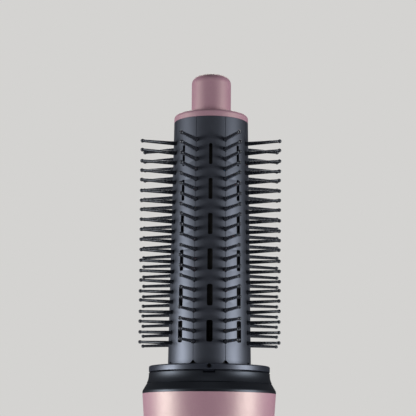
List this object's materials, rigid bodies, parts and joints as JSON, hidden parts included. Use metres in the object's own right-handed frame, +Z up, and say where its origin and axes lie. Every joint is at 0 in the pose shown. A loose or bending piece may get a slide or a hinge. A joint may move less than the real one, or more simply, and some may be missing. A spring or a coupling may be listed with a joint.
{
  "type": "hot air brush",
  "caption": "Hand-held hot air styling brush: slotted round barrel with rows of ball-tipped bristles and a cool tip on a pull-off head, tapered handle with slider and push button",
  "frame": {"origin": "centre of the flat foot at the handle's lower end", "axes": "+Z up along the brush's axis towards the cool tip, -Y to the front with the controls, +X to the right"},
  "size_m": [0.0512, 0.0512, 0.336],
  "materials": {
    "rose_lacquer": "satin metallic lacquer on moulded ABS",
    "black_moulding": "fine satin, moulded",
    "gloss_black": "polished",
    "barrel_metal": "dark blue-grey satin coating",
    "bristle_nylon": "moulded nylon",
    "inner_moulding": "moulded, heat resistant",
    "steel": "plain",
    "mica": "pressed mica board",
    "heating_wire": "coiled resistance wire",
    "magnet": "sintered and laminated",
    "board": "solder mask",
    "capacitor_film": "dipped",
    "lens": "clear moulded",
    "gland_rubber": "satin",
    "silicone": "moulded",
    "lead_sheath": "extruded"
  },
  "bodies": {
    "handle": {"front_housing": "rose_lacquer", "rear_housing": "rose_lacquer", "housing_screws": "steel", "control_inlay": "gloss_black", "indicator_lens": "lens", "control_board": "board", "slide_switch": "black_moulding", "button_switch": "black_moulding", "rectifier": "black_moulding", "capacitor": "capacitor_film", "neck_collar": "black_moulding", "detent_ring": "steel", "outlet_grille": "black_moulding", "heater_tube": "steel", "mica_liner": "mica", "heater_card_a": "mica", "heater_card_b": "mica", "heating_coil_outer": "heating_wire", "heating_coil_inner": "heating_wire", "thermostat": "steel", "thermal_fuse": "steel", "motor_holder": "inner_moulding", "motor_can": "steel", "motor_screws": "steel", "motor_magnets": "magnet", "motor_end_bell": "black_moulding", "inlet_cage": "black_moulding", "base_cap": "black_moulding", "slip_ring_block": "inner_moulding", "mains_leads": "lead_sheath"},
    "head": {"barrel": "barrel_metal", "strip_carrier": "inner_moulding", "base_flange": "black_moulding", "spigot_seal": "silicone", "index_pin": "steel", "flange_screws": "steel", "top_plug": "inner_moulding", "end_ring": "rose_lacquer", "cool_tip": "rose_lacquer", "tip_screw": "steel", "air_guide": "inner_moulding", "bristle_strip_1": "bristle_nylon", "bristle_strip_2": "bristle_nylon", "bristle_strip_3": "bristle_nylon", "bristle_strip_4": "bristle_nylon", "bristle_strip_5": "bristle_nylon", "bristle_strip_6": "bristle_nylon", "bristle_strip_7": "bristle_nylon", "bristle_strip_8": "bristle_nylon"},
    "slider": {"slider_knob": "rose_lacquer"},
    "cool_button": {"cool_shot_button": "black_moulding", "switch_plunger": "black_moulding"},
    "rotor": {"armature": "magnet", "motor_shaft": "steel", "impeller": "inner_moulding"},
    "inlet_filter": {"filter_cover": "black_moulding", "filter_mesh": "steel"},
    "cord_swivel": {"cord_gland": "gland_rubber", "gland_retainer": "inner_moulding"}
  },
  "joints": [
    {"name": "head_lift", "type": "slide", "parent": "handle", "child": "head", "axis": [0, 0, 1], "range_m": [0, 0.03], "deforming": ["detent_ring"]},
    {"name": "mode_slide", "type": "slide", "parent": "handle", "child": "slider", "axis": [0, 0, 1], "range_m": [0, 0.008]},
    {"name": "cool_shot_press", "type": "slide", "parent": "handle", "child": "cool_button", "axis": [0, 1, 0], "range_m": [0, 0.0015], "stiffness_N_per_m": 1000},
    {"name": "fan_spin", "type": "hinge", "parent": "handle", "child": "rotor", "pos_m": [0, 0, 0.12], "axis": [0, 0, 1], "continuous": true},
    {"name": "filter_slide", "type": "slide", "parent": "handle", "child": "inlet_filter", "axis": [0, 0, -1], "range_m": [0, 0.036]},
    {"name": "cord_turn", "type": "hinge", "parent": "handle", "child": "cord_swivel", "pos_m": [0, 0, 0.006], "axis": [0, 0, 1], "continuous": true}
  ]
}
